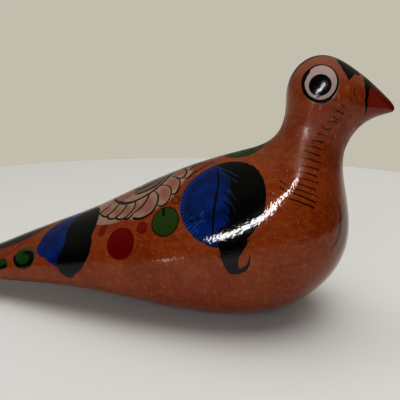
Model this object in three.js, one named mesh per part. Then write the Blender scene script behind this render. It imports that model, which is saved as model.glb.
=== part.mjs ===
// A dove figurine of burnished clay: one hand-moulded piece that sits on its own flattened belly.
// Millimetres, +Z up, beak towards +X. The origin is on the table under the middle of the figure's box.
import * as THREE from "three";
import { mergeVertices } from "three/addons/utils/BufferGeometryUtils.js";

// Driving dimensions
const LENGTH = 235; // tail end to beak tip
const HEIGHT = 124.5; // table to crown
const WIDTH = 88; // across the breast
const SEAT_DEPTH = 1.6; // how far the belly is pressed flat on the table
const TAIL_ROUND = 7; // length of the rounding at the tail's end
const BEAK_ROUND = 2.2; // length of the rounding at the beak's tip
const EYE_DIAMETER = 18;
const EYE_RISE = 0.9; // how far the middle of each eye stands out of the head

// Where the eyes sit, as shares of the length and of the height
const EYE_ALONG = 0.855;
const EYE_UP = 0.876;

// How finely the surface is cut up
const RINGS = 70;
const SIDES = 44;
const CAP_RINGS = 4; // rings on each rounded end
const FINE_STEPS = 1600; // steps used to space the rings
const CROWDING = 0.55; // 0 spaces the rings evenly, more crowds them where the bird is slim

// Cross-sections from tail to beak. Each leans with the body, and runs from a point on the back to a
// point on the belly: [share of the length, share of the height]. "half" is the half width as a share
// of the widest, and "sag" is how far the widest level lies below the middle of the section.
const SECTIONS = [
  { name: "tail end", back: [0.0, 0.1], belly: [0.0, 0.056], half: 0.17, sag: 0.1 },
  { name: "tail", back: [0.05, 0.135], belly: [0.052, 0.056], half: 0.27, sag: 0.12 },
  { name: "tail root", back: [0.14, 0.198], belly: [0.145, 0.06], half: 0.39, sag: 0.14 },
  { name: "rump", back: [0.25, 0.285], belly: [0.258, 0.063], half: 0.52, sag: 0.15 },
  { name: "loin", back: [0.355, 0.365], belly: [0.37, 0.062], half: 0.67, sag: 0.14 },
  { name: "mid back", back: [0.46, 0.46], belly: [0.49, 0.037], half: 0.83, sag: 0.12 },
  { name: "wing", back: [0.57, 0.556], belly: [0.62, 0.004], half: 0.95, sag: 0.1 },
  { name: "shoulder", back: [0.665, 0.6185], belly: [0.745, 0.01], half: 1.0, sag: 0.08 },
  { name: "breast", back: [0.73, 0.654], belly: [0.862, 0.104], half: 0.95, sag: 0.06 },
  { name: "upper breast", back: [0.766, 0.692], belly: [0.926, 0.286], half: 0.78, sag: 0.04 },
  { name: "neck root", back: [0.786, 0.757], belly: [0.917, 0.505], half: 0.55, sag: 0.0 },
  { name: "neck", back: [0.7895, 0.829], belly: [0.9095, 0.645], half: 0.42, sag: 0.0 },
  { name: "back of head", back: [0.793, 0.905], belly: [0.925, 0.715], half: 0.425, sag: -0.02 },
  { name: "hind crown", back: [0.815, 0.97], belly: [0.938, 0.745], half: 0.41, sag: -0.02 },
  { name: "crown", back: [0.853, 1.0], belly: [0.951, 0.764], half: 0.375, sag: 0.0 },
  { name: "beak root", back: [0.927, 0.941], belly: [0.972, 0.782], half: 0.23, sag: 0.05 },
  { name: "beak tip", back: [1.0, 0.822], belly: [1.0, 0.798], half: 0.04, sag: 0.0 },
];

// A smooth curve (natural cubic spline) through values at increasing places.
function splineThrough(places, values) {
  const n = places.length;
  const bend = new Array(n).fill(0);
  const work = new Array(n).fill(0);
  for (let i = 1; i < n - 1; i++) {
    const before = places[i] - places[i - 1];
    const after = places[i + 1] - places[i];
    const share = before / (before + after);
    const pivot = share * bend[i - 1] + 2;
    const turn = (values[i + 1] - values[i]) / after - (values[i] - values[i - 1]) / before;
    bend[i] = (share - 1) / pivot;
    work[i] = ((6 * turn) / (before + after) - share * work[i - 1]) / pivot;
  }
  for (let i = n - 2; i >= 0; i--) {
    bend[i] = bend[i] * bend[i + 1] + work[i];
  }
  return (place) => {
    let i = 0;
    while (i < n - 2 && place > places[i + 1]) {
      i++;
    }
    const gap = places[i + 1] - places[i];
    const b = (place - places[i]) / gap;
    const a = 1 - b;
    const curl = ((a ** 3 - a) * bend[i] + (b ** 3 - b) * bend[i + 1]) * (gap ** 2 / 6);
    return a * values[i] + b * values[i + 1] + curl;
  };
}

// A share of the length and of the height as a point of the side view, with the tail end at x = 0.
function sidePoint([along, up]) {
  return new THREE.Vector2(along * LENGTH, up * (HEIGHT + SEAT_DEPTH) - SEAT_DEPTH);
}

// The body: its section at any distance along the bird, from 0 at the tail to "end" at the beak.
function bodyShape() {
  const backs = SECTIONS.map((row) => sidePoint(row.back));
  const bellies = SECTIONS.map((row) => sidePoint(row.belly));
  const places = [0];
  for (let i = 1; i < SECTIONS.length; i++) {
    const step = (backs[i].distanceTo(backs[i - 1]) + bellies[i].distanceTo(bellies[i - 1])) / 2;
    places.push(places[i - 1] + step);
  }
  const through = (values) => splineThrough(places, values);
  const backX = through(backs.map((point) => point.x));
  const backZ = through(backs.map((point) => point.y));
  const bellyX = through(bellies.map((point) => point.x));
  const bellyZ = through(bellies.map((point) => point.y));
  const half = through(SECTIONS.map((row) => (row.half * WIDTH) / 2));
  const sag = through(SECTIONS.map((row) => row.sag));
  const sectionAt = (place) => ({
    back: new THREE.Vector2(backX(place), backZ(place)),
    belly: new THREE.Vector2(bellyX(place), bellyZ(place)),
    half: half(place),
    sag: sag(place),
  });
  return { sectionAt, end: places[places.length - 1] };
}

function middleOf(section) {
  return section.back.clone().add(section.belly).multiplyScalar(0.5);
}

// Places for the rings between two distances, closer together where the bird is slim.
function ringPlaces(sectionAt, from, to) {
  const placeOf = (step) => from + ((to - from) * step) / FINE_STEPS;
  const way = [0];
  let last = sectionAt(from);
  for (let step = 1; step <= FINE_STEPS; step++) {
    const next = sectionAt(placeOf(step));
    const moved = Math.max(next.back.distanceTo(last.back), next.belly.distanceTo(last.belly));
    const girth = next.back.distanceTo(next.belly) + 2 * next.half;
    way.push(way[step - 1] + moved / girth ** CROWDING);
    last = next;
  }
  const places = [];
  let step = 0;
  for (let ring = 0; ring < RINGS; ring++) {
    const wanted = (way[FINE_STEPS] * ring) / (RINGS - 1);
    while (step < FINE_STEPS && way[step] < wanted) {
      step++;
    }
    places.push(placeOf(step));
  }
  return places;
}

// The sections of one rounded end, drawn in towards their middles, from the tip inwards.
function capSections(sectionAt, tip, inwards, round) {
  const sections = [];
  for (let i = 1; i <= CAP_RINGS; i++) {
    const turn = (Math.PI / 2) * (i / (CAP_RINGS + 1));
    const section = sectionAt(tip + inwards * round * (1 - Math.cos(turn)));
    const middle = middleOf(section);
    sections.push({
      back: middle.clone().lerp(section.back, Math.sin(turn)),
      belly: middle.clone().lerp(section.belly, Math.sin(turn)),
      half: section.half * Math.sin(turn),
      sag: section.sag,
    });
  }
  return sections;
}

// One section as a ring of points, starting at the back.
function ringPoints(section) {
  const middle = middleOf(section);
  const up = section.back.clone().sub(middle);
  const points = [];
  for (let i = 0; i < SIDES; i++) {
    const turn = (2 * Math.PI * i) / SIDES;
    const rise = Math.cos(turn) - section.sag * Math.sin(turn) ** 2;
    const point = middle.clone().addScaledVector(up, rise);
    points.push(new THREE.Vector3(point.x, section.half * Math.sin(turn), point.y));
  }
  return points;
}

// Eyes: each stands out of the side of the head as a low dome.
function raiseEye(point) {
  const centre = sidePoint([EYE_ALONG, EYE_UP]);
  const away = Math.hypot(point.x - centre.x, point.z - centre.y) / (EYE_DIAMETER / 2);
  if (away < 1) {
    point.y += Math.sign(point.y) * EYE_RISE * (1 - away ** 2);
  }
}

// Seat: what would be below the table is pressed flat against it.
function pressFlat(point) {
  point.z = Math.max(point.z, 0);
}

// A closed skin over the rings, with a fan of triangles at each tip.
function skinOver(rings, firstTip, lastTip) {
  const points = [firstTip, ...rings.flat(), lastTip];
  const lastRing = rings.length - 1;
  const at = (ring, side) => 1 + ring * SIDES + (side % SIDES);
  const faces = [];
  for (let side = 0; side < SIDES; side++) {
    faces.push(0, at(0, side), at(0, side + 1));
    faces.push(points.length - 1, at(lastRing, side + 1), at(lastRing, side));
    for (let ring = 0; ring < lastRing; ring++) {
      faces.push(at(ring, side), at(ring + 1, side + 1), at(ring, side + 1));
      faces.push(at(ring, side), at(ring + 1, side), at(ring + 1, side + 1));
    }
  }
  return { points, faces };
}

function birdGeometry() {
  const { sectionAt, end } = bodyShape();
  const sections = [
    ...capSections(sectionAt, 0, 1, TAIL_ROUND),
    ...ringPlaces(sectionAt, TAIL_ROUND, end - BEAK_ROUND).map(sectionAt),
    ...capSections(sectionAt, end, -1, BEAK_ROUND).reverse(),
  ];
  const tipAt = (place) => {
    const middle = middleOf(sectionAt(place));
    return new THREE.Vector3(middle.x, 0, middle.y);
  };
  const { points, faces } = skinOver(sections.map(ringPoints), tipAt(0), tipAt(end));
  points.forEach(raiseEye);
  points.forEach(pressFlat);
  const geometry = new THREE.BufferGeometry().setFromPoints(points);
  geometry.setIndex(faces);
  return mergeVertices(geometry);
}

const burnishedClay = new THREE.MeshStandardMaterial({
  color: new THREE.Color(0.42, 0.13, 0.06),
  roughness: 0.25,
  metalness: 0,
});

const bird = new THREE.Mesh(birdGeometry(), burnishedClay);
bird.name = "bird";
bird.position.x = -LENGTH / 2;

const figurine = new THREE.Group();
figurine.add(bird);

export default figurine;
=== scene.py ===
from math import acos, copysign, cos, pi, radians, sin

import bmesh
import bpy
from mathutils import Matrix, Vector, noise
from mathutils.bvhtree import BVHTree


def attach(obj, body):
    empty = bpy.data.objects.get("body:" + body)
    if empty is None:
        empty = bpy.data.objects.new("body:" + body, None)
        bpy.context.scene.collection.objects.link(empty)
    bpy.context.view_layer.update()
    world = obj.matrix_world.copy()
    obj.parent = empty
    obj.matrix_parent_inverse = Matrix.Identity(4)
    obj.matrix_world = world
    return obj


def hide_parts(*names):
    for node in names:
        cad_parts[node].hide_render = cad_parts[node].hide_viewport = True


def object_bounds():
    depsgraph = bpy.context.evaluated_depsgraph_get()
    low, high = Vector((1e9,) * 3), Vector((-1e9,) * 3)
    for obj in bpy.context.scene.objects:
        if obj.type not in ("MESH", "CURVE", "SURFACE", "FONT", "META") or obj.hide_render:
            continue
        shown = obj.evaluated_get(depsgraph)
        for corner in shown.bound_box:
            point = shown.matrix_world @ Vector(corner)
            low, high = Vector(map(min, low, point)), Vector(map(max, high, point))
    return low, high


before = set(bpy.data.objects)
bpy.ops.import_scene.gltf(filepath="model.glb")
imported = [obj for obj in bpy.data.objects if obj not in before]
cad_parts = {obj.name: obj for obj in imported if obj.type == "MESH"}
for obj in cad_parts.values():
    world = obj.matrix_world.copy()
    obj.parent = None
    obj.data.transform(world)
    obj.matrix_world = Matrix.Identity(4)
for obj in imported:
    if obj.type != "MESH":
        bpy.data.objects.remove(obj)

cad_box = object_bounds()

# The photograph's view. Places on the painted clay are given in its pixels, as in "eye centre (320, 84)".
PHOTO_SIZE = 400
FOCAL_PIXELS = 600
VIEW_AZIMUTH = 10
VIEW_ELEVATION = 15
VIEW_DISTANCE = 0.300
VIEW_TARGET = Vector((0.0275, 0.0, 0.0533))
SENSOR_MM = 36.0
NEAREST_SEEN = 0.01

MM = 0.001  # a millimetre, in the scene's metres


def direction_at(azimuth, elevation):
    """The direction some degrees round from the bird's right side towards its beak, and some degrees up."""
    turn = Matrix.Rotation(radians(azimuth), 3, "Z") @ Matrix.Rotation(radians(-elevation), 3, "X")
    return turn @ Vector((0, -1, 0))


def camera_for_photo():
    back = direction_at(VIEW_AZIMUTH, VIEW_ELEVATION)
    data = bpy.data.cameras.new("photo view")
    data.sensor_width = SENSOR_MM
    data.lens = SENSOR_MM * FOCAL_PIXELS / PHOTO_SIZE
    data.clip_start = NEAREST_SEEN
    camera = bpy.data.objects.new("photo view", data)
    camera.location = VIEW_TARGET + VIEW_DISTANCE * back
    camera.rotation_euler = (-back).to_track_quat("-Z", "Y").to_euler()
    bpy.context.scene.collection.objects.link(camera)
    bpy.context.scene.camera = camera
    bpy.context.view_layer.update()
    return camera


camera = camera_for_photo()


# The bird's clay body

MERGE_GAP = 0.001 * MM  # corners closer together than this are one
SMOOTHING = 2  # how many times the facets are halved
HAND_WAVE = 0.16 * MM  # how far the hand-smoothed surface wanders
HAND_WAVE_SIZE = 16 * MM
SEAT_FADE = 4 * MM  # height over which the waves fade out towards the table


def bird_body():
    """The solid's own form with its facets smoothed away and the slow waves of hand work."""
    bm = bmesh.new()
    bm.from_mesh(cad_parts["bird"].data)
    bmesh.ops.remove_doubles(bm, verts=bm.verts, dist=MERGE_GAP)
    bmesh.ops.join_triangles(bm, faces=bm.faces, angle_face_threshold=pi, angle_shape_threshold=pi)
    mesh = bpy.data.meshes.new("painted bird")
    bm.to_mesh(mesh)
    bm.free()
    body = bpy.data.objects.new("painted_bird", mesh)
    bpy.context.scene.collection.objects.link(body)

    smoothing = body.modifiers.new("smooth clay", "SUBSURF")
    smoothing.levels = smoothing.render_levels = SMOOTHING
    depsgraph = bpy.context.evaluated_depsgraph_get()
    fine = bpy.data.meshes.new_from_object(body.evaluated_get(depsgraph))
    body.modifiers.clear()
    body.data = fine
    fine.name = "painted bird"

    low, high = cad_box
    normals = [vertex.normal.copy() for vertex in fine.vertices]
    for vertex, normal in zip(fine.vertices, normals):
        wave = noise.noise(vertex.co / HAND_WAVE_SIZE)
        lift = min(1.0, vertex.co.z / SEAT_FADE)
        moved = vertex.co + normal * HAND_WAVE * (wave - 1) * lift
        vertex.co = [min(max(c, lo), hi) for c, lo, hi in zip(moved, low, high)]
    fine.shade_smooth()
    return body


body = bird_body()


def surface_of(piece):
    bm = bmesh.new()
    bm.from_mesh(piece.data)
    tree = BVHTree.FromBMesh(bm)
    bm.free()
    return tree


surface = surface_of(body)


def ray_through(pixel):
    """A ray from the camera through a pixel of the photograph."""
    half = PHOTO_SIZE / 2
    local = Vector((pixel[0] - half, half - pixel[1], -FOCAL_PIXELS))
    return camera.matrix_world.translation, (camera.matrix_world.to_3x3() @ local).normalized()


# Laying out shader nodes


class Nodes:
    """Adds nodes to one tree, in the order in which they are worked out."""

    def __init__(self, tree):
        self.tree = tree

    def put(self, socket, value):
        if isinstance(value, bpy.types.NodeSocket):
            self.tree.links.new(value, socket)
        else:
            socket.default_value = value

    def add(self, kind, values=(), **settings):
        """A node of this kind. values go to its inputs in turn, or by name where they are a dict."""
        node = self.tree.nodes.new(kind)
        for name, setting in settings.items():
            setattr(node, name, setting)
        pairs = values.items() if isinstance(values, dict) else enumerate(values)
        for key, value in pairs:
            self.put(node.inputs[key], value)
        return node

    def math(self, operation, *values):
        return self.add("ShaderNodeMath", values, operation=operation).outputs[0]

    def within(self, value, low, high):
        return self.math("MINIMUM", self.math("MAXIMUM", value, low), high)

    def vector(self, operation, *values):
        node = self.add("ShaderNodeVectorMath", values, operation=operation)
        return node.outputs["Value" if operation in ("DOT_PRODUCT", "LENGTH", "DISTANCE") else "Vector"]

    def scaled(self, vector, factor):
        node = self.add("ShaderNodeVectorMath", (vector,), operation="SCALE")
        self.put(node.inputs["Scale"], factor)
        return node.outputs["Vector"]

    def ramp(self, value, low, high, to_low=0.0, to_high=1.0):
        values = {"Value": value, "From Min": low, "From Max": high, "To Min": to_low, "To Max": to_high}
        return self.add("ShaderNodeMapRange", values, interpolation_type="SMOOTHSTEP").outputs["Result"]

    def mix(self, factor, first, second):
        node = self.add("ShaderNodeMix", data_type="RGBA")
        for key, value in (("Factor_Float", factor), ("A_Color", first), ("B_Color", second)):
            socket = next(s for s in node.inputs if s.identifier == key)
            self.put(socket, (*value, 1.0) if isinstance(value, tuple) else value)
        return next(s for s in node.outputs if s.identifier == "Result_Color")

    def noise(self, vector, scale, detail=2.0, rough=0.5):
        values = {"Vector": vector, "Scale": scale, "Detail": detail, "Roughness": rough}
        return self.add("ShaderNodeTexNoise", values)

    def group(self, tree, values):
        node = self.tree.nodes.new("ShaderNodeGroup")
        node.node_tree = tree
        for key, value in values.items():
            self.put(node.inputs[key], value)
        return node


def new_group(name, inputs, outputs):
    """An empty group with named sockets. Returns its nodes, its inputs by name and its output node."""
    tree = bpy.data.node_groups.new(name, "ShaderNodeTree")
    kinds = {"value": "NodeSocketFloat", "vector": "NodeSocketVector", "colour": "NodeSocketColor"}
    for title, kind in inputs.items():
        tree.interface.new_socket(title, in_out="INPUT", socket_type=kinds[kind])
    for title, kind in outputs.items():
        tree.interface.new_socket(title, in_out="OUTPUT", socket_type=kinds[kind])
    nodes = Nodes(tree)
    start = nodes.add("NodeGroupInput")
    end = nodes.add("NodeGroupOutput")
    return nodes, start.outputs, end


# Brush shapes. Each gives how far a point lies inside its edge, in millimetres, below 0 outside.


def brush_stroke_group():
    """A straight stroke with round ends, wider at one end than the other."""
    nodes, given, out = new_group(
        "Brush stroke",
        {
            "Point": "vector",
            "Start": "vector",
            "End": "vector",
            "Start Radius": "value",
            "End Radius": "value",
        },
        {"Inside": "value"},
    )
    reach = nodes.vector("SUBTRACT", given["End"], given["Start"])
    from_start = nodes.vector("SUBTRACT", given["Point"], given["Start"])
    along = nodes.vector("DOT_PRODUCT", from_start, reach)
    length = nodes.vector("DOT_PRODUCT", reach, reach)
    share = nodes.within(nodes.math("DIVIDE", along, length), 0.0, 1.0)
    away = nodes.vector("DISTANCE", from_start, nodes.scaled(reach, share))
    growth = nodes.math("SUBTRACT", given["End Radius"], given["Start Radius"])
    radius = nodes.math("MULTIPLY_ADD", share, growth, given["Start Radius"])
    nodes.put(out.inputs["Inside"], nodes.math("SUBTRACT", radius, away))
    return nodes.tree


def curved_stroke_group():
    """A stroke along an arc, with its own width at the start, the middle and the end."""
    nodes, given, out = new_group(
        "Curved stroke",
        {
            "Point": "vector",
            "Centre": "vector",
            "Towards": "vector",
            "Radius": "value",
            "Half Angle": "value",
            "Start Radius": "value",
            "Middle Radius": "value",
            "End Radius": "value",
        },
        {"Inside": "value"},
    )
    from_centre = nodes.vector("SUBTRACT", given["Point"], given["Centre"])
    away = nodes.vector("LENGTH", from_centre)
    away = nodes.math("ABSOLUTE", nodes.math("SUBTRACT", away, given["Radius"]))
    ahead = nodes.vector("DOT_PRODUCT", from_centre, given["Towards"])
    sideways = nodes.vector("CROSS_PRODUCT", (0, 0, 1), given["Towards"])
    aside = nodes.vector("DOT_PRODUCT", from_centre, sideways)
    angle = nodes.math("ARCTAN2", aside, ahead)
    share = nodes.math("DIVIDE", angle, given["Half Angle"])
    past_end = nodes.math("SUBTRACT", nodes.math("ABSOLUTE", share), 1.0)
    past_end = nodes.math("MAXIMUM", past_end, 0.0)
    reach = nodes.math("MULTIPLY", given["Half Angle"], given["Radius"])
    past_end = nodes.math("MULTIPLY", past_end, nodes.math("ABSOLUTE", reach))
    squares = nodes.math("MULTIPLY", away, away)
    squares = nodes.math("MULTIPLY_ADD", past_end, past_end, squares)
    away = nodes.math("SQRT", squares)
    before = nodes.math("MULTIPLY", nodes.within(share, -1.0, 0.0), -1.0)
    growth = nodes.math("SUBTRACT", given["Start Radius"], given["Middle Radius"])
    radius = nodes.math("MULTIPLY_ADD", before, growth, given["Middle Radius"])
    growth = nodes.math("SUBTRACT", given["End Radius"], given["Middle Radius"])
    radius = nodes.math("MULTIPLY_ADD", nodes.within(share, 0.0, 1.0), growth, radius)
    nodes.put(out.inputs["Inside"], nodes.math("SUBTRACT", radius, away))
    return nodes.tree


def dab_group():
    """An oval dab. Along and Across are its half axes, each divided by its length squared. It also
    gives the angle round the middle, and how far out a point is, 1 at the edge."""
    nodes, given, out = new_group(
        "Dab",
        {"Point": "vector", "Centre": "vector", "Along": "vector", "Across": "vector", "Radius": "value"},
        {"Inside": "value", "Out": "value", "Angle": "value"},
    )
    from_centre = nodes.vector("SUBTRACT", given["Point"], given["Centre"])
    along = nodes.vector("DOT_PRODUCT", from_centre, given["Along"])
    across = nodes.vector("DOT_PRODUCT", from_centre, given["Across"])
    squares = nodes.math("MULTIPLY_ADD", along, along, nodes.math("MULTIPLY", across, across))
    share = nodes.math("SQRT", squares)
    inside = nodes.math("MULTIPLY", nodes.math("SUBTRACT", 1.0, share), given["Radius"])
    nodes.put(out.inputs["Inside"], inside)
    nodes.put(out.inputs["Out"], share)
    nodes.put(out.inputs["Angle"], nodes.math("ARCTAN2", across, along))
    return nodes.tree


def near_side_group():
    """The surface's own places with both sides of the bird folded onto the side that the photograph
    shows, and the small waves of a hand-painted line, from -1 to 1."""
    nodes, _, out = new_group("Near side", {}, {"Point": "vector", "Wave": "vector"})
    point = nodes.add("ShaderNodeTexCoord").outputs["Object"]
    x, y, z = nodes.add("ShaderNodeSeparateXYZ", (point,)).outputs
    near = nodes.math("MULTIPLY", nodes.math("ABSOLUTE", y), -1.0)
    nodes.put(out.inputs["Point"], nodes.add("ShaderNodeCombineXYZ", (x, near, z)).outputs[0])
    wave = nodes.noise(point, 1 / WAVE_SIZE, detail=2.5, rough=0.6).outputs["Color"]
    nodes.put(out.inputs["Wave"], nodes.vector("MULTIPLY_ADD", wave, (2, 2, 2), (-1, -1, -1)))
    return nodes.tree


def board_group():
    """Where the surface lies on a flat board held against it, in millimetres along the board. Across,
    Up and Out are the board's axes, each a millimetre in length."""
    nodes, given, out = new_group(
        "Board",
        {
            "Point": "vector",
            "Wave": "vector",
            "Origin": "vector",
            "Across": "vector",
            "Up": "vector",
            "Out": "vector",
            "Depth": "value",
            "Wander": "value",
        },
        {"Point": "vector"},
    )
    from_origin = nodes.scaled(nodes.vector("SUBTRACT", given["Point"], given["Origin"]), 1 / MM ** 2)
    height = nodes.vector("DOT_PRODUCT", from_origin, given["Out"])
    off_board = nodes.math("GREATER_THAN", nodes.math("ABSOLUTE", height), given["Depth"])
    x = nodes.vector("DOT_PRODUCT", from_origin, given["Across"])
    x = nodes.math("MULTIPLY_ADD", off_board, OFF_BOARD, x)
    y = nodes.vector("DOT_PRODUCT", from_origin, given["Up"])
    wave = nodes.add("ShaderNodeSeparateXYZ", (given["Wave"],)).outputs
    x = nodes.math("MULTIPLY_ADD", wave["X"], given["Wander"], x)
    y = nodes.math("MULTIPLY_ADD", wave["Y"], given["Wander"], y)
    nodes.put(out.inputs["Point"], nodes.add("ShaderNodeCombineXYZ", (x, y, 0.0)).outputs[0])
    return nodes.tree


def wash_group():
    """Cloudy patches of a given size in millimetres, up to a given strength."""
    nodes, given, out = new_group("Wash", {"Size": "value", "Most": "value"}, {"Amount": "value"})
    point = nodes.add("ShaderNodeTexCoord").outputs["Object"]
    scale = nodes.math("DIVIDE", 1 / MM, given["Size"])
    cloud = nodes.noise(point, scale, detail=3.0).outputs["Fac"]
    nodes.put(out.inputs["Amount"], nodes.ramp(cloud, 0.36, 0.64, to_high=given["Most"]))
    return nodes.tree


def dry_brush_group():
    """Thin broken streaks, as a nearly dry brush leaves them, leaning over the bird's side."""
    nodes, given, out = new_group("Dry brush", {"Lean": "vector", "Stretch": "vector"}, {"Amount": "value"})
    point = nodes.add("ShaderNodeTexCoord").outputs["Object"]
    values = {"Vector": point, "Rotation": given["Lean"], "Scale": given["Stretch"]}
    leaning = nodes.add("ShaderNodeMapping", values, vector_type="TEXTURE").outputs[0]
    streaks = nodes.noise(leaning, 1.0).outputs["Fac"]
    nodes.put(out.inputs["Amount"], nodes.ramp(streaks, 0.54, 0.68))
    return nodes.tree


OFF_BOARD = 1000.0  # how far away clay is taken to be when it lies too deep under a board, in millimetres
SIDE_DEPTH = 16.0  # how deep that is for a board held against the side
TOP_DEPTH = 9.0  # and for one held against the back or the nape
WAVE_SIZE = 3 * MM  # how long the small waves in a painted line are

BRUSH_STROKE = brush_stroke_group()
CURVED_STROKE = curved_stroke_group()
DAB = dab_group()
NEAR_SIDE = near_side_group()
BOARD = board_group()
WASH = wash_group()
DRY_BRUSH = dry_brush_group()

SOFT_EDGE = 0.16  # half the width over which a paint edge fades, in millimetres
LEAF_OUTLINE = 0.6  # width of the line round a leaf or a fruit, in millimetres


class Painting:
    """The colour of the clay with each coat of paint laid over the last."""

    def __init__(self, nodes, ground):
        self.nodes = nodes
        self.colour = ground
        self.near_side = nodes.group(NEAR_SIDE, {}).outputs

    def tint(self, mask, paint):
        """Paint as thickly as a mask says."""
        self.colour = self.nodes.mix(mask, self.colour, paint)

    def lay(self, inside, paint, strength=1.0, edge=SOFT_EDGE):
        """Paint over whatever lies inside an edge."""
        self.tint(self.nodes.ramp(inside, -edge, edge, to_high=strength), paint)

    def line(self, inside, width, paint, strength=1.0, edge=SOFT_EDGE):
        """Paint along an edge only."""
        within = self.nodes.math("SUBTRACT", width / 2, self.nodes.math("ABSOLUTE", inside))
        self.lay(within, paint, strength, edge)

    def wash(self, size, paint, second, most=1.0):
        """A paint with cloudy patches of a second one in it, some millimetres in size."""
        amount = self.nodes.group(WASH, {"Size": size, "Most": most}).outputs["Amount"]
        return self.nodes.mix(amount, paint, second)


class Board:
    """A flat drawing board held against the clay. Its points are in millimetres, and its lines are
    drawn straight through onto the surface. Both sides of the bird are painted alike.

    find turns a spot, two numbers, into a point of the surface. Lengths are given as spots are."""

    SPAN = 70.0  # how far the board reaches from its middle

    def __init__(self, painting, find, middle, across, wander=0.3, depth=SIDE_DEPTH):
        self.find = find
        self.origin, out = find(middle)
        across = (across - out * across.dot(out)).normalized()
        self.frame = Matrix((across, out.cross(across), out)).transposed()
        self.nodes = painting.nodes
        values = {
            "Point": painting.near_side["Point"],
            "Wave": painting.near_side["Wave"],
            "Origin": self.origin,
            "Across": self.frame.col[0] * MM,
            "Up": self.frame.col[1] * MM,
            "Out": self.frame.col[2] * MM,
            "Depth": depth,
            "Wander": wander,
        }
        self.point = self.nodes.group(BOARD, values).outputs["Point"]

    def at(self, spot):
        """A spot as a place on the board."""
        place = self.frame.transposed() @ (self.find(spot)[0] - self.origin) / MM
        return Vector((place.x, place.y, 0))

    def half_width(self, spot, along, width):
        """Half the width on the board of a stroke that passes a spot in some direction. Where the clay
        turns away on one side, the other side counts."""
        aside = Vector((-along[1], along[0])).normalized()
        middle = self.at(spot)
        steps = [(self.at(Vector(spot) + aside * side) - middle).length for side in (1, -1)]
        return min(steps) * width / 2

    def stroke(self, start, end, start_width, end_width):
        along = Vector(end) - Vector(start)
        values = {
            "Point": self.point,
            "Start": self.at(start),
            "End": self.at(end),
            "Start Radius": self.half_width(start, along, start_width),
            "End Radius": self.half_width(end, along, end_width),
        }
        return self.nodes.group(BRUSH_STROKE, values).outputs["Inside"]

    def arc(self, start, middle, end, start_width, middle_width, end_width):
        """A curved stroke through three spots."""
        a, b, c = self.at(start), self.at(middle), self.at(end)
        centre = circle_centre(a, b, c)
        half = angle_between(a - centre, c - centre) / 2
        towards = ((a + c) / 2 - centre).normalized()
        if (b - centre).dot(towards) < 0:
            half = pi - half
            towards = -towards
        turning = copysign(1, (b - a).cross(c - b).z)
        values = {
            "Point": self.point,
            "Centre": centre,
            "Towards": towards,
            "Radius": (b - centre).length,
            "Half Angle": half * turning,
            "Start Radius": self.half_width(start, Vector(middle) - Vector(start), start_width),
            "Middle Radius": self.half_width(middle, Vector(end) - Vector(start), middle_width),
            "End Radius": self.half_width(end, Vector(end) - Vector(middle), end_width),
        }
        return self.nodes.group(CURVED_STROKE, values).outputs["Inside"]

    def line(self, *values):
        """A straight stroke from four values, or a curved one from six."""
        return self.stroke(*values) if len(values) == 4 else self.arc(*values)

    def lines(self, shapes):
        """All the strokes of a set, as one shape."""
        return self.union(*(self.line(*shape) for shape in shapes))

    def dab_node(self, centre, across, down, turn=0.0):
        """An oval, as its node, turned anticlockwise by some degrees."""
        x, y = centre
        left, right = self.at((x - across, y)), self.at((x + across, y))
        top, bottom = self.at((x, y - down)), self.at((x, y + down))
        wide = (right - left).length / 2
        tall = (bottom - top).length / 2
        axis = Vector((cos(radians(turn)), sin(radians(turn)), 0))
        values = {
            "Point": self.point,
            "Centre": ((left.x + right.x) / 2, (top.y + bottom.y) / 2, 0),
            "Along": axis / wide,
            "Across": Vector((-axis.y, axis.x, 0)) / tall,
            "Radius": min(wide, tall),
        }
        return self.nodes.group(DAB, values)

    def dab(self, centre, across, down, turn=0.0):
        return self.dab_node(centre, across, down, turn).outputs["Inside"]

    def dabs(self, shapes):
        """All the ovals of a set, as one shape."""
        return self.union(*(self.dab(*shape) for shape in shapes))

    def beyond(self, start, end):
        """The part of the board to the right of a line from start to end, as one looks along it."""
        a, b = self.at(start), self.at(end)
        right = (b - a).cross(Vector((0, 0, 1))).normalized()
        past = self.nodes.math("SUBTRACT", self.nodes.vector("DOT_PRODUCT", self.point, right), a.dot(right))
        on_board = self.nodes.math("SUBTRACT", self.SPAN, self.nodes.vector("LENGTH", self.point))
        return self.overlap(past, on_board)

    def union(self, *shapes):
        whole = shapes[0]
        for shape in shapes[1:]:
            whole = self.nodes.math("MAXIMUM", whole, shape)
        return whole

    def overlap(self, *shapes):
        shared = shapes[0]
        for shape in shapes[1:]:
            shared = self.nodes.math("MINIMUM", shared, shape)
        return shared


NUDGES = 60  # tries on the way in from a spot that is off the bird
AWAY = 1.0  # how far from the bird a ray starts, in metres


def board_facing(painting, ray_at, middle, across, **settings):
    """A board square to the clay at its middle. ray_at gives the ray on which a spot lies."""

    def find(spot):
        """The surface at a spot, or at the nearest spot towards the middle that is on the bird."""
        for step in range(NUDGES):
            share = step / NUDGES
            nearer = [a + (b - a) * share for a, b in zip(spot, middle)]
            hit, out, _, _ = surface.ray_cast(*ray_at(nearer))
            if hit is not None:
                return hit, out
        raise ValueError(f"no part of the bird lies between {spot} and {middle}")

    return Board(painting, find, middle, across, **settings)


def side_board(painting, middle, wander=0.3):
    """A board whose spots are pixels of the photograph."""
    across = camera.matrix_world.to_3x3() @ Vector((1, 0, 0))
    return board_facing(painting, ray_through, middle, across, wander=wander)


def ray_down(spot):
    return Vector((spot[0] * MM, spot[1] * MM, AWAY)), Vector((0, 0, -1))


def ray_forward(spot):
    return Vector((-AWAY, -spot[0] * MM, spot[1] * MM)), Vector((1, 0, 0))


def nape_board(painting, middle, wander=0.3):
    """A board behind the head. Its spots are millimetres to the right and up."""
    return board_facing(painting, ray_forward, middle, Vector((0, -1, 0)), wander=wander, depth=TOP_DEPTH)


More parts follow.
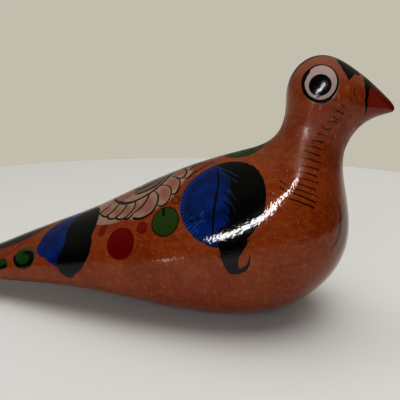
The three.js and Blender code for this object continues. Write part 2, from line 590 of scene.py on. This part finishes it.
def back_board(painting, middle, wander=0.3):
    """A board on top of the back. Its spots are millimetres along the bird and across it."""
    return board_facing(painting, ray_down, middle, Vector((1, 0, 0)), wander=wander, depth=TOP_DEPTH)


def circle_centre(a, b, c):
    """The centre of the circle through three points of a plane."""
    ab, ac = b - a, c - a
    twice_area = 2 * ab.cross(ac).z
    x = (ac.y * ab.length_squared - ab.y * ac.length_squared) / twice_area
    y = (ab.x * ac.length_squared - ac.x * ab.length_squared) / twice_area
    return a + Vector((x, y, 0))


def angle_between(a, b):
    return acos(max(-1.0, min(1.0, a.dot(b) / (a.length * b.length))))


# Paints, as linear colours
BLACK = (0.0010, 0.0014, 0.0011)
SOFT_BLACK = (0.012, 0.008, 0.005)
BLUE = (0.0012, 0.0165, 0.12)
DEEP_BLUE = (0.0012, 0.010, 0.060)
PALE_BLUE = (0.03, 0.09, 0.26)
BEAK_RED = (0.090, 0.0015, 0.0006)
# painted highlight: a lighter copy of the beak red for where light falls on the beak
BEAK_PAINTED_HIGHLIGHT = (0.17, 0.018, 0.007)
DOT_RED = (0.105, 0.001, 0.0005)
LINE_RED = (0.13, 0.012, 0.008)
GREEN = (0.020, 0.040, 0.006)
LEAF_GREEN = (0.005, 0.025, 0.004)
SPRIG_GREEN = (0.006, 0.038, 0.005)
SPRIG_BROWN = (0.055, 0.045, 0.012)
PALE_GREEN = (0.13, 0.14, 0.09)
EYE_WHITE = (0.34, 0.255, 0.24)
WING_WHITE = (0.27, 0.185, 0.14)
WING_PINK = (0.19, 0.050, 0.032)
WING_GREY = (0.075, 0.050, 0.032)
RIDGE_GREEN = (0.005, 0.008, 0.005)

# The ornament, in pixels of the photograph. A dab is (middle, half width, half height), a stroke is
# (start, end, width at start, width at end), and a curved one (start, middle, end, three widths).
EYE_MIDDLE = (320, 84)
EYE_HALO = ((320.8, 85.4), 18.2, 18.6)
EYE_RING = ((320.2, 83.4), 18.7, 19.0)
IRIS = ((320.9, 82.5), 16.1, 17.1)
PUPIL = ((320.2, 85.0), 11.4, 10.9)
EYE_LINES = [
    ((302.9, 87), (304.2, 78), (308.2, 71.8), 2.0, 4.2, 3.6),
    ((310.5, 98.6), (321, 102.4), (331.5, 98.2), 1.6, 2.8, 1.8),
]
EYE_FLECK = ((316.6, 97.2), (319.6, 96.6), 1.2, 0.8)

HEAD_MIDDLE = (350, 88)
BEAK_LINE = ((364.6, 114), (366.4, 84))
BEAK_TIP_LINE = ((391.5, 110), (392.5, 103))
BEAK_TOP_LINE = ((388, 105), (369, 89))
BEAK_BASE_STROKES = [
    ((367.5, 81.5), (367.2, 88), 6.0, 4.2),
    ((367.2, 88), (366.2, 100), 4.2, 3.0),
    ((366.2, 100), (365.0, 114), 2.8, 1.6),
]
FOREHEAD_STROKES = [
    ((339.5, 60), (348, 66), 4.5, 6.5),
    ((348, 66), (356, 72), 6.5, 4.0),
    ((341, 62.5), (346.2, 69), (349, 79.8), 4.0, 6.5, 1.2),
    ((352.5, 71), (349, 79.8), 6.0, 1.0),
]
CHEEK_STROKES = [
    ((349.4, 97.6), (351.8, 102), 0.8, 1.1),
    ((341.8, 104.4), (344.6, 108), 1.2, 0.8),
    ((336.2, 110.6), (343, 113.6), 1.2, 2.4),
    ((331.8, 116.8), (338, 119.4), 1.2, 1.5),
    ((328.4, 122.0), (332.6, 121.2), (337.6, 124), 1.1, 1.6, 1.0),
    ((321.4, 125.4), (324.0, 128.2), (331.6, 128.6), 1.0, 1.6, 1.1),
    ((318.2, 133.4), (325.4, 135.8), 1.4, 0.9),
]
FAINT_TICK = ((356.2, 88), (354.0, 92.5), (357.0, 96.5), 0.9, 1.2, 0.9)

NECK_MIDDLE = (306, 172)
NECK_STROKES = [
    ((313.0, 140.6), (322.8, 142.4), 1.0, 1.9),
    ((307.4, 145.4), (321.2, 149.4), 0.9, 1.7),
    ((304.6, 151.0), (319.4, 156.0), 0.9, 1.7),
    ((302.4, 157.6), (320.2, 163.0), 1.0, 1.5),
    ((300.4, 165.0), (318.6, 170.0), 1.0, 1.4),
    ((297.6, 170.8), (316.8, 176.6), 0.9, 1.4),
    ((298.6, 177.8), (317.4, 182.8), 0.8, 1.3),
    ((297.8, 183.8), (315.8, 190.0), 1.0, 1.5),
    ((294.0, 188.4), (318.0, 197.2), 1.3, 1.2),
    ((289.6, 191.8), (315.2, 202.6), 1.3, 1.7),
    ((288.6, 198.2), (313.8, 207.8), 1.3, 1.9),
    ((279.6, 180.6), (287.0, 186.0), 1.4, 1.0),
    ((279.8, 186.8), (287.2, 191.8), 1.4, 0.9),
]

BREAST_MIDDLE = (340, 226)
BREAST_STROKES = [
    ((338.4, 204.0), (340.8, 224), (330.6, 249.5), 0.9, 3.4, 0.9),
    ((343.4, 202.0), (346.2, 226), (337.0, 253.5), 0.9, 3.0, 0.9),
    ((345.0, 192.0), (349.4, 212), (349.0, 234.0), 0.6, 1.6, 0.8),
]

FLOWER_MIDDLE = (222, 205)
FLOWER_BLOOM = ((223.5, 205.6), 43.0, 42.6)
FLOWER_SHADE_LINES = [((231, 250), (230.5, 186)), ((238, 190), (214, 161))]
FLOWER_BARBS = [
    ((224, 192), (236, 204), 1.6, 3.0),
    ((223.5, 201), (235, 213), 1.4, 3.2),
    ((223.5, 210), (234, 222), 1.4, 3.2),
    ((225, 219), (233, 229), 1.2, 3.0),
    ((226, 184), (236, 193), 1.0, 2.6),
]
FLOWER_HAIRS = [
    ((219.6, 167.4), (239, 177), 1.4, 0.7),
    ((222, 172), (238, 183), 1.4, 0.7),
    ((229, 190), (236, 200), 1.3, 0.6),
    ((230, 202), (236, 211.6), 1.2, 0.6),
]
FLOWER_VEIN = [
    ((217.0, 169), (218.6, 180), (216.6, 194), 1.4, 2.0, 2.4),
    ((216.6, 194), (212.6, 237), 2.6, 1.8),
]
FLOWER_STREAKS = ((196, 222), 15, 15)
STREAK_LEAN = (0, radians(-48), 0)
STREAK_SIZE = (4 * MM, 2 * MM, 0.55 * MM)
FRINGE_HAIRS = 76.0  # as many as would go round the whole bloom
FRINGE_BAND = (0.84, 0.96)  # where the fringe sets in, as shares of the way out to the edge
FRINGE_ARC = (2.0, 2.5)  # where it sets in on the tail side, in radians round the bloom
FLOWER_CUP = [  # the cup, its foot and its hook, and then loose hairs at its edges
    ((231.2, 241), (229.6, 257), 32, 17.5),
    ((229.6, 257), (231.5, 266), 17, 13.5),
    ((233, 269.6), (243, 270), (249.4, 255), 6.5, 4.2, 0.8),
    ((243, 270.6), (247.4, 268.8), 3.4, 1.2),
    ((245.4, 239.6), (251.0, 233.4), 2.6, 0.5),
    ((243.6, 244.8), (249.8, 239.4), 2.4, 0.5),
    ((240.8, 250.0), (246.6, 245.2), 2.4, 0.5),
    ((238.0, 254.6), (242.8, 250.6), 2.2, 0.5),
    ((222.0, 254.0), (218.4, 258.4), 2.2, 0.6),
    ((226.0, 264.0), (223.0, 268.2), 2.0, 0.6),
]

TAIL_FLOWER_MIDDLE = (66, 245)
TAIL_FLOWER_BLUE = [
    ((66, 231), 13, 13),
    ((59, 238), 16.5, 14.5),
    ((54.5, 245), 16.5, 12),
    ((57, 252), 12, 12),
    ((59, 257), 8.5, 11),
]
TAIL_FLOWER_BLACK = [
    ((81, 231), 13.4, 18),
    ((77.6, 247), 13.6, 20),
    ((73, 257), 13.0, 17),
    ((67.5, 265), 10.5, 13.2),
]

FRUITS_MIDDLE = (142, 232)
RED_FRUIT = ((120.5, 244), 13.4, 16.2)
RED_BUDS = [((102.6, 230.6), 3.6, 5.6, -28), ((142, 227.6), 5.2, 6.2, 0)]
GREEN_FRUIT = ((165.2, 222), 13.2, 14.4)
GREEN_FRUIT_STEM = ((163.6, 208.6), (163.6, 215.6), 2.6, 2.0)
CURL = [
    ((172.6, 197.4), (172.8, 202.6), (177.6, 202.8), 1.0, 1.1, 1.2),
    ((177.6, 202.8), (179.6, 198.6), (175.6, 196.6), 1.2, 1.4, 1.0),
]

SPRIG_MIDDLE = (22, 256)
SPRIG_LEAF = ((24.6, 258.4), 10.8, 11.2)
SPRIG_HEART = ((21.4, 259.0), 7.8, 9.0)
SPRIG_SPIRAL = [
    ((14.6, 257), (18.4, 265.6), (28.2, 263.6), 2.6, 3.8, 4.4),
    ((28.2, 263.6), (31.4, 257.2), (28.4, 252.6), 4.4, 4.8, 4.2),
    ((28.4, 252.6), (25.4, 252.6), (22.8, 254.8), 4.0, 3.0, 1.0),
]
SECOND_SPRIG = ((1.5, 264), 5.6, 5.6)
SECOND_SPRIG_SHADE = ((-1, 268.4), (5.6, 266), 2.6, 3.6)
TAIL_LINES = [
    ((3, 258), (21, 244.9), 1.2, 1.6),
    ((21, 244.9), (47, 227.6), 1.6, 0.8),
    ((0, 250.4), (12, 246.4), 1.4, 1.6),
    ((12, 246.4), (32, 236.8), 1.6, 0.9),
]

WING_MIDDLE = (145, 200)
WING_GROUND = [
    ((99, 208.5), (138, 209), 6, 14),
    ((138, 209), (162, 194), 16, 18),
    ((162, 194), (179, 175), 18, 12),
    ((126, 194), (168, 171), 20, 24),
]
WING_BLUSHES = [
    ((180, 172.6), 4.6, 2.6, 20),
    ((173, 184.5), 4.2, 5.0, 20),
    ((164.6, 193.6), 4.6, 6.2, 20),
    ((147.4, 206), 6.0, 7.4, 30),
    ((137.4, 208), 3.2, 5.4, 30),
    ((126.8, 210.4), 3.4, 4.6, 30),
    ((116.4, 211.2), 3.0, 4.2, 30),
    ((106.6, 210.6), 3.0, 3.4, 20),
    ((127, 195.6), 7.0, 3.6, 25),
]
FEATHER_LINES = [  # from the shoulder down to the wing tip
    ((176.0, 169.0), (186.4, 170.2), (184.6, 176.4), 0.7, 1.2, 1.5),
    ((184.6, 176.4), (181.0, 178.2), (176.8, 177.2), 1.5, 1.2, 0.7),
    ((171.4, 176.8), (180.0, 182.4), (176.8, 192.2), 0.8, 1.3, 2.0),
    ((176.8, 192.2), (174.0, 194.0), (170.6, 193.2), 2.0, 1.3, 0.7),
    ((160.4, 185.6), (171.2, 191.0), (167.2, 202.2), 0.8, 1.4, 1.5),
    ((167.2, 202.2), (163.2, 205.4), (157.4, 205.2), 1.5, 1.8, 0.9),
    ((154.6, 191.2), (158.2, 199.0), (154.6, 208.4), 0.9, 1.6, 1.6),
    ((154.6, 208.4), (146.6, 216.2), (133.8, 218.2), 1.6, 1.9, 2.6),
    ((149.2, 194.0), (143.6, 204.4), (133.0, 213.2), 1.1, 1.5, 1.0),
    ((133.0, 213.2), (129.4, 217.6), (124.0, 218.8), 1.0, 1.7, 1.8),
    ((135.4, 202.4), (133.6, 208.8), (126.4, 216.4), 0.9, 1.2, 1.3),
    ((126.4, 216.4), (121.4, 219.2), (116.0, 217.8), 1.3, 1.8, 1.9),
    ((127.0, 203.4), (124.2, 209.2), (116.0, 217.0), 0.8, 1.1, 1.5),
    ((116.0, 217.8), (112.0, 219.0), (107.6, 216.8), 1.5, 1.7, 1.8),
    ((119.4, 203.8), (115.6, 208.2), (107.6, 215.4), 0.8, 1.1, 1.4),
    ((107.6, 216.8), (103.6, 216.4), (100.4, 213.4), 1.5, 1.6, 1.7),
    ((110.8, 204.6), (106.0, 208.6), (100.2, 213.2), 0.7, 1.0, 1.2),
    ((100.4, 213.4), (95.4, 211.8), (95.4, 207.6), 1.3, 1.7, 0.9),
]
WING_TOP_SHADE = [((141, 190), (152, 184), 5, 8), ((152, 184), (168, 171), 8, 4)]
WING_TOP_LINES = [
    ((118.2, 196.0), (115.4, 199.0), (119.6, 202.2), 1.2, 1.7, 1.9),
    ((119.6, 202.2), (131.0, 202.4), (142.4, 197.6), 2.0, 2.0, 1.6),
    ((142.4, 197.6), (157.4, 187.6), (174.0, 171.6), 1.6, 1.4, 0.8),
    ((137.4, 194.0), (153.0, 187.4), (171.0, 171.4), 1.0, 1.2, 0.6),
    ((136.0, 189.4), (148.6, 185.2), (166.4, 172.8), 1.1, 1.1, 0.6),
    ((144.6, 184.6), (153.6, 180.0), (163.8, 173.2), 0.8, 0.9, 0.5),
]
SCAPULAR = [
    ((176, 168), (192, 163.6), 7, 7),
    ((192, 163.6), (216, 157.2), 5, 2.5),
]
SCAPULAR_LINES = [
    ((184.6, 178.6), (188.4, 177.4), (192.0, 174.0), 1.0, 1.5, 1.3),
    ((192.0, 174.0), (213, 162.2), 1.5, 0.8),
    ((190.6, 169.6), (195.2, 164.6), 1.3, 0.8),
    ((195.2, 165.2), (201.6, 163.4), 1.2, 0.8),
]

# On top of the back, in millimetres along the bird and across it
BACK_LEAF_MIDDLE = (50, 0)
BACK_LEAF = [((42, 0), (50, 0), 5, 20), ((50, 0), (58.5, 0), 20, 6)]
BACK_LEAF_VEINS = [
    ((40, 0), (60, 0), 0.9, 0.6),
    ((45, 0), (49, 6), 0.6, 0.4),
    ((45, 0), (49, -6), 0.6, 0.4),
    ((50, 0), (54, 5.5), 0.6, 0.4),
    ((50, 0), (54, -5.5), 0.6, 0.4),
]
TAIL_RIDGE_MIDDLE = (-80, 0)
TAIL_RIDGE = [
    ((-112, 0), (-66, 0), 14, 21),
    ((-66, 0), (-44, 0), 21, 3),
]
CROWN_MIDDLE = (80, 0)
CROWN_LINE = ((70, 0), (87, 0), 10.5, 7.0)

# Behind the head, in millimetres to the right and up
NAPE_MIDDLE = (0, 108)
NAPE_LINE = ((0, 102), (0, 117), 1.6, 10.0)


def paint_eye(painting):
    board = side_board(painting, EYE_MIDDLE, wander=0.14)
    painting.lay(board.dab(*EYE_HALO), EYE_WHITE, strength=0.6)
    painting.lay(board.dab(*EYE_RING), BLACK)
    painting.lay(board.dab(*IRIS), EYE_WHITE)
    painting.lay(board.lines(EYE_LINES), BLACK)
    painting.lay(board.dab(*PUPIL), BLACK)
    painting.lay(board.stroke(*EYE_FLECK), SOFT_BLACK)


def paint_head(painting):
    board = side_board(painting, HEAD_MIDDLE)
    beak = board.beyond(*BEAK_LINE)
    painting.lay(beak, BEAK_RED)
    # A painted highlight: the beak is painted a lighter red on one side of its top line.
    top = board.overlap(beak, board.beyond(*reversed(BEAK_TOP_LINE)))
    painting.lay(top, BEAK_PAINTED_HIGHLIGHT, strength=0.8, edge=1.6)
    painting.lay(board.beyond(*BEAK_TIP_LINE), BLACK, strength=0.85, edge=0.8)
    painting.lay(board.lines(BEAK_BASE_STROKES), BLACK)
    painting.lay(board.lines(FOREHEAD_STROKES), BLACK)
    painting.lay(board.lines(CHEEK_STROKES), BLACK, strength=0.9)
    painting.lay(board.arc(*FAINT_TICK), SOFT_BLACK, strength=0.8)
    painting.lay(back_board(painting, CROWN_MIDDLE).stroke(*CROWN_LINE), SOFT_BLACK)
    painting.lay(nape_board(painting, NAPE_MIDDLE).stroke(*NAPE_LINE), SOFT_BLACK)


def paint_neck(painting):
    """Short strokes down the side of the neck, each a little below the last."""
    board = side_board(painting, NECK_MIDDLE, wander=0.25)
    painting.lay(board.lines(NECK_STROKES), BLACK, strength=0.88)


def paint_breast(painting):
    """The long curved leaf lines at the front."""
    board = side_board(painting, BREAST_MIDDLE, wander=0.2)
    painting.lay(board.lines(BREAST_STROKES), BLACK, strength=0.9)


def paint_flower(painting):
    board = side_board(painting, FLOWER_MIDDLE, wander=0.42)
    nodes = painting.nodes
    bloom = board.dab_node(*FLOWER_BLOOM)
    inside = bloom.outputs["Inside"]
    painting.lay(inside, painting.wash(8.0, DEEP_BLUE, BLUE))

    angle = bloom.outputs["Angle"]
    fringe = nodes.ramp(nodes.math("SINE", nodes.math("MULTIPLY", angle, FRINGE_HAIRS)), 0.1, 0.9)
    rim = nodes.ramp(bloom.outputs["Out"], *FRINGE_BAND)
    tail_side = nodes.ramp(nodes.math("ABSOLUTE", angle), *FRINGE_ARC)
    fringe = nodes.math("MULTIPLY", nodes.math("MULTIPLY", fringe, rim), tail_side)
    fringe = nodes.math("MULTIPLY", fringe, nodes.ramp(inside, 0.0, 0.2, to_high=0.3))
    painting.tint(fringe, PALE_BLUE)

    brushed = nodes.group(DRY_BRUSH, {"Lean": STREAK_LEAN, "Stretch": STREAK_SIZE}).outputs["Amount"]
    streaks = nodes.ramp(board.dab(*FLOWER_STREAKS), 0.0, 3.0, to_high=0.6)
    painting.tint(nodes.math("MULTIPLY", brushed, streaks), PALE_BLUE)

    shade = board.union(*(board.beyond(*line) for line in FLOWER_SHADE_LINES))
    shade = board.union(shade, board.lines(FLOWER_BARBS))
    painting.lay(board.overlap(inside, shade), BLACK, edge=0.25)
    painting.lay(board.lines(FLOWER_HAIRS), PALE_BLUE, strength=0.22)
    painting.lay(board.lines(FLOWER_VEIN), BLACK)
    painting.lay(board.lines(FLOWER_CUP), BLACK)


def paint_tail_flower(painting):
    board = side_board(painting, TAIL_FLOWER_MIDDLE)
    painting.lay(board.dabs(TAIL_FLOWER_BLUE), painting.wash(5.0, DEEP_BLUE, BLUE))
    painting.lay(board.dabs(TAIL_FLOWER_BLACK), BLACK, edge=0.3)


def paint_fruits(painting):
    """Round fruits and buds between the two flowers."""
    board = side_board(painting, FRUITS_MIDDLE)
    painting.lay(board.dab(*RED_FRUIT), DOT_RED)
    for bud in RED_BUDS:
        painting.lay(board.dab(*bud), DOT_RED, strength=0.8)
    fruit = board.dab(*GREEN_FRUIT)
    painting.lay(fruit, GREEN)
    painting.line(fruit, LEAF_OUTLINE, BLACK, strength=0.85)
    painting.lay(board.stroke(*GREEN_FRUIT_STEM), BLACK)
    painting.lay(board.lines(CURL), SOFT_BLACK)


def paint_tail_sprigs(painting):
    board = side_board(painting, SPRIG_MIDDLE)
    painting.lay(board.lines(TAIL_LINES), LINE_RED, strength=0.8)
    painting.lay(board.dab(*SPRIG_LEAF), SPRIG_BROWN, strength=0.9)
    painting.lay(board.dab(*SPRIG_HEART), SPRIG_GREEN)
    painting.lay(board.lines(SPRIG_SPIRAL), BLACK, strength=0.97)
    painting.lay(board.dab(*SECOND_SPRIG), SPRIG_GREEN)
    painting.lay(board.stroke(*SECOND_SPRIG_SHADE), BLACK, strength=0.95)


def paint_wing(painting):
    board = side_board(painting, WING_MIDDLE, wander=0.2)
    ground = board.lines(WING_GROUND)
    painting.lay(ground, painting.wash(2.5, WING_WHITE, WING_PINK, most=0.35), strength=0.92, edge=0.5)
    painting.lay(board.lines(SCAPULAR), PALE_GREEN, strength=0.8, edge=0.5)
    painting.lay(board.lines(SCAPULAR_LINES), BLACK, strength=0.9)
    for blush in WING_BLUSHES:
        painting.lay(board.dab(*blush), WING_PINK, strength=0.6, edge=1.4)
    painting.lay(board.lines(WING_TOP_SHADE), WING_GREY, strength=0.75, edge=0.7)
    painting.lay(board.lines(FEATHER_LINES), BLACK, strength=0.95)
    painting.lay(board.lines(WING_TOP_LINES), BLACK, strength=0.95)


def paint_back(painting):
    """A dark leaf along the top of the tail and a green one between the shoulders."""
    tail = back_board(painting, TAIL_RIDGE_MIDDLE)
    painting.lay(tail.lines(TAIL_RIDGE), RIDGE_GREEN, edge=0.4)
    board = back_board(painting, BACK_LEAF_MIDDLE)
    leaf = board.lines(BACK_LEAF)
    painting.lay(leaf, LEAF_GREEN)
    painting.line(leaf, LEAF_OUTLINE, SOFT_BLACK, strength=0.8)
    painting.lay(board.lines(BACK_LEAF_VEINS), BLACK, strength=0.85)


CLAY_RED = (0.205, 0.039, 0.008)
CLAY_DARK = (0.145, 0.018, 0.002)
CLAY_ORANGE = (0.225, 0.062, 0.009)
CLAY_SPECK = (0.40, 0.20, 0.13)
# painted sheen: a paler, rosier clay colour that stands for light from above on the crown
CLAY_PAINTED_SHEEN = (0.22, 0.085, 0.060)

# How fine each pattern of the clay is, in features to the metre
CLOUDS = 38.0
WARM_PATCHES = 75.0
GRAIN = 340.0
STREAKS = (80.0, 220.0, 420.0)  # longest along the bird
SPECKS = 1300.0
UPRIGHT_MARKS = (900.0, 900.0, 220.0)  # longest upwards
BURNISH_MARKS = 650.0
WORN_PATCHES = 260.0

# Heights between which a change sets in
NECK_MARKS = (45 * MM, 65 * MM)
DULL_NECK = (68 * MM, 82 * MM)
BRIGHTER_HEAD = (94 * MM, 102 * MM)
# where the painted sheen of light from above on the crown sets in
PAINTED_CROWN_SHEEN = (108 * MM, 123 * MM)

POLISHED = 0.09  # roughness of the burnished body
DULL = 0.45  # roughness of the neck where it is most worn
HEAD_WEAR = 0.3  # how much of the neck's dullness the head has
BURNISH_DEPTH = 0.06 * MM
GLOSS = 0.31  # specular level of the burnished clay and its paint


def clay_group():
    """Burnished red-brown clay: cloudy patches, a fine grain, streaks along the body, pale specks, small
    pale upright marks on the neck and head, and a painted sheen of light from above on the crown."""
    nodes, _, out = new_group("Burnished clay", {}, {"Colour": "colour"})
    point = nodes.add("ShaderNodeTexCoord").outputs["Object"]
    clouds = nodes.noise(point, CLOUDS, detail=4.0, rough=0.6).outputs["Fac"]
    colour = nodes.mix(nodes.ramp(clouds, 0.38, 0.66), CLAY_RED, CLAY_DARK)
    warm = nodes.noise(point, WARM_PATCHES, detail=3.0, rough=0.6).outputs["Fac"]
    colour = nodes.mix(nodes.ramp(warm, 0.48, 0.72, to_high=0.65), colour, CLAY_ORANGE)
    grain = nodes.noise(point, GRAIN, detail=4.0, rough=0.65).outputs["Fac"]
    colour = nodes.mix(nodes.ramp(grain, 0.50, 0.66, to_high=0.5), colour, CLAY_ORANGE)
    colour = nodes.mix(nodes.ramp(grain, 0.34, 0.48, to_low=0.45, to_high=0.0), colour, CLAY_DARK)
    stretched = nodes.add("ShaderNodeMapping", {"Vector": point, "Scale": STREAKS}).outputs[0]
    streaks = nodes.noise(stretched, 1.0, detail=3.0).outputs["Fac"]
    colour = nodes.mix(nodes.ramp(streaks, 0.48, 0.74, to_high=0.55), colour, CLAY_DARK)
    specks = nodes.noise(point, SPECKS, detail=1.0).outputs["Fac"]
    colour = nodes.mix(nodes.ramp(specks, 0.68, 0.76, to_high=0.55), colour, CLAY_SPECK)
    # small pale upright marks, fading in up the neck and on over the head
    upright = nodes.add("ShaderNodeMapping", {"Vector": point, "Scale": UPRIGHT_MARKS}).outputs[0]
    upright_marks = nodes.noise(upright, 1.0, detail=1.0).outputs["Fac"]
    height = nodes.add("ShaderNodeSeparateXYZ", (point,)).outputs["Z"]
    upright_marks = nodes.ramp(upright_marks, 0.68, 0.76)
    upright_marks = nodes.math("MULTIPLY", upright_marks, nodes.ramp(height, *NECK_MARKS, to_high=0.4))
    colour = nodes.mix(upright_marks, colour, CLAY_SPECK)
    # painted sheen: the crown is painted paler and rosier, as light from above makes it look
    colour = nodes.mix(nodes.ramp(height, *PAINTED_CROWN_SHEEN, to_high=0.6), colour, CLAY_PAINTED_SHEEN)
    nodes.put(out.inputs["Colour"], colour)
    return nodes.tree


def burnish_group():
    """The fine facets that a burnishing stone leaves."""
    nodes, _, out = new_group("Burnish marks", {}, {"Height": "value"})
    point = nodes.add("ShaderNodeTexCoord").outputs["Object"]
    nodes.put(out.inputs["Height"], nodes.noise(point, BURNISH_MARKS, detail=1.0).outputs["Fac"])
    return nodes.tree


def handled_group():
    """How rough the clay is: polished, but duller in patches round the neck, where the bird is picked
    up, and a little on the head."""
    nodes, given, out = new_group(
        "Handled clay", {"Polished": "value", "Dull": "value"}, {"Roughness": "value"}
    )
    point = nodes.add("ShaderNodeTexCoord").outputs["Object"]
    height = nodes.add("ShaderNodeSeparateXYZ", (point,)).outputs["Z"]
    worn = nodes.ramp(height, *DULL_NECK)
    worn = nodes.math("MULTIPLY", worn, nodes.ramp(height, *BRIGHTER_HEAD, to_low=1.0, to_high=HEAD_WEAR))
    patches = nodes.noise(point, WORN_PATCHES, detail=3.0).outputs["Fac"]
    worn = nodes.math("MULTIPLY", worn, nodes.ramp(patches, 0.35, 0.6, to_low=0.5))
    growth = nodes.math("SUBTRACT", given["Dull"], given["Polished"])
    nodes.put(out.inputs["Roughness"], nodes.math("MULTIPLY_ADD", worn, growth, given["Polished"]))
    return nodes.tree


def painted_clay():
    material = bpy.data.materials.new("painted clay")
    material.use_nodes = True
    tree = material.node_tree
    tree.nodes.clear()
    nodes = Nodes(tree)
    painting = Painting(nodes, nodes.group(clay_group(), {}).outputs["Colour"])
    paint_back(painting)
    paint_tail_sprigs(painting)
    paint_wing(painting)
    paint_flower(painting)
    paint_tail_flower(painting)
    paint_fruits(painting)
    paint_breast(painting)
    paint_neck(painting)
    paint_head(painting)
    paint_eye(painting)

    marks = nodes.group(burnish_group(), {}).outputs["Height"]
    roughness = nodes.group(handled_group(), {"Polished": POLISHED, "Dull": DULL}).outputs["Roughness"]
    bump = nodes.add("ShaderNodeBump", {"Strength": 1.0, "Distance": BURNISH_DEPTH, "Height": marks})
    values = {
        "Base Color": painting.colour,
        "Roughness": roughness,
        "Specular IOR Level": GLOSS,
        "Normal": bump.outputs["Normal"],
    }
    shader = nodes.add("ShaderNodeBsdfPrincipled", values)
    output = nodes.add("ShaderNodeOutputMaterial")
    tree.links.new(shader.outputs["BSDF"], output.inputs["Surface"])
    return material


body.data.materials.clear()
body.data.materials.append(painted_clay())
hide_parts("bird")
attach(body, "root")


# The studio: a pale floor, pale surroundings and soft lights


def plain_material(name, colour, roughness):
    material = bpy.data.materials.new(name)
    material.use_nodes = True
    shader = material.node_tree.nodes["Principled BSDF"]
    shader.inputs["Base Color"].default_value = (*colour, 1.0)
    shader.inputs["Roughness"].default_value = roughness
    return material


FLOOR_RADIUS = 0.38  # puts its far edge where the table's is in the photograph
FLOOR_SIDES = 96
FLOOR_COLOUR = (0.66, 0.665, 0.66)
FLOOR_ROUGHNESS = 0.7


def floor():
    bm = bmesh.new()
    bmesh.ops.create_circle(bm, cap_ends=True, segments=FLOOR_SIDES, radius=FLOOR_RADIUS)
    mesh = bpy.data.meshes.new("floor")
    bm.to_mesh(mesh)
    bm.free()
    piece = bpy.data.objects.new("floor", mesh)
    mesh.materials.append(plain_material("floor", FLOOR_COLOUR, FLOOR_ROUGHNESS))
    bpy.context.scene.collection.objects.link(piece)


LIT_SPOT = Vector((0.055, -0.038, 0.056))  # on the breast, in the middle of the bright streak


def soft_panel(name, start, end, width, brightness, distance=1.0):
    """A flat light that faces the bird. start and end, its two ends, are (azimuth, elevation)."""
    first = LIT_SPOT + distance * direction_at(*start)
    last = LIT_SPOT + distance * direction_at(*end)
    middle = (first + last) / 2
    back = (middle - LIT_SPOT).normalized()
    along = (last - first).normalized()
    along = (along - back * along.dot(back)).normalized()
    data = bpy.data.lights.new(name, "AREA")
    data.shape = "RECTANGLE"
    data.size = (last - first).length
    data.size_y = width
    data.energy = brightness * pi * data.size * width
    light = bpy.data.objects.new(name, data)
    light.matrix_world = Matrix((along, back.cross(along), back)).transposed().to_4x4()
    light.location = middle
    light.visible_camera = False
    bpy.context.scene.collection.objects.link(light)
    return light


def glint_lights(name, bends, width, brightness):
    """A chain of narrow panels that is seen only as a glint on the burnished clay."""
    for start, end in zip(bends, bends[1:]):
        light = soft_panel(name, start, end, width, brightness)
        light.visible_diffuse = False


HORIZON = (-0.12, 0.12)  # heights of a direction between which the room's upper part sets in
MIRROR_HORIZON = (-0.12, 0.18)
PALE_SETS_IN = (-0.05, 0.6)  # how far a direction agrees with the pale side
DIM_AHEAD = (0.45, 0.95)  # how far it agrees with the way the beak points
FLOOR_MIRRORED = 1.15  # strength of the room's lower part as a reflection on the clay


def surroundings(pale, dim, pale_side, mirrored):
    """A plain pale room, dim above in front of the bird's painted side and below beyond its beak.
    mirrored is the strength of its upper part as a reflection on the clay."""
    world = bpy.data.worlds.new("studio")
    world.use_nodes = True
    nodes = Nodes(world.node_tree)
    direction = nodes.add("ShaderNodeTexCoord").outputs["Generated"]
    towards = nodes.vector("DOT_PRODUCT", direction, Vector(pale_side).normalized())
    colour = nodes.mix(nodes.ramp(towards, *PALE_SETS_IN), dim, pale)
    ahead, _, height = nodes.add("ShaderNodeSeparateXYZ", (direction,)).outputs
    low = nodes.mix(nodes.ramp(ahead, *DIM_AHEAD), pale, dim)
    colour = nodes.mix(nodes.ramp(height, *HORIZON), low, colour)
    background = world.node_tree.nodes["Background"]
    nodes.put(background.inputs["Color"], colour)
    reflected = nodes.add("ShaderNodeLightPath").outputs["Is Glossy Ray"]
    strength = nodes.ramp(height, *MIRROR_HORIZON, FLOOR_MIRRORED, mirrored)
    change = nodes.math("SUBTRACT", strength, 1.0)
    nodes.put(background.inputs["Strength"], nodes.math("MULTIPLY_ADD", reflected, change, 1.0))
    bpy.context.scene.world = world


floor()
surroundings(pale=(0.48, 0.45, 0.38), dim=(0.02, 0.02, 0.02), pale_side=(-0.35, 0.75, 0.55), mirrored=0.35)
overhead = soft_panel("overhead light", (-60, 80), (120, 60), 1.4, brightness=2.8, distance=1.4)
front = soft_panel("front light", (-40, 12), (30, 12), 0.7, brightness=2.0, distance=1.4)
for light in (overhead, front):
    light.visible_glossy = False
glint_lights("window", [(-1, 51), (1, 44), (-11, 31), (-25, 18)], width=0.085, brightness=38.0)
glint_lights("low lamp", [(-35, -3), (-31, -4)], width=0.05, brightness=7.0)
bpy.context.scene.view_settings.view_transform = "Standard"
bpy.context.scene.view_settings.look = "Medium High Contrast"
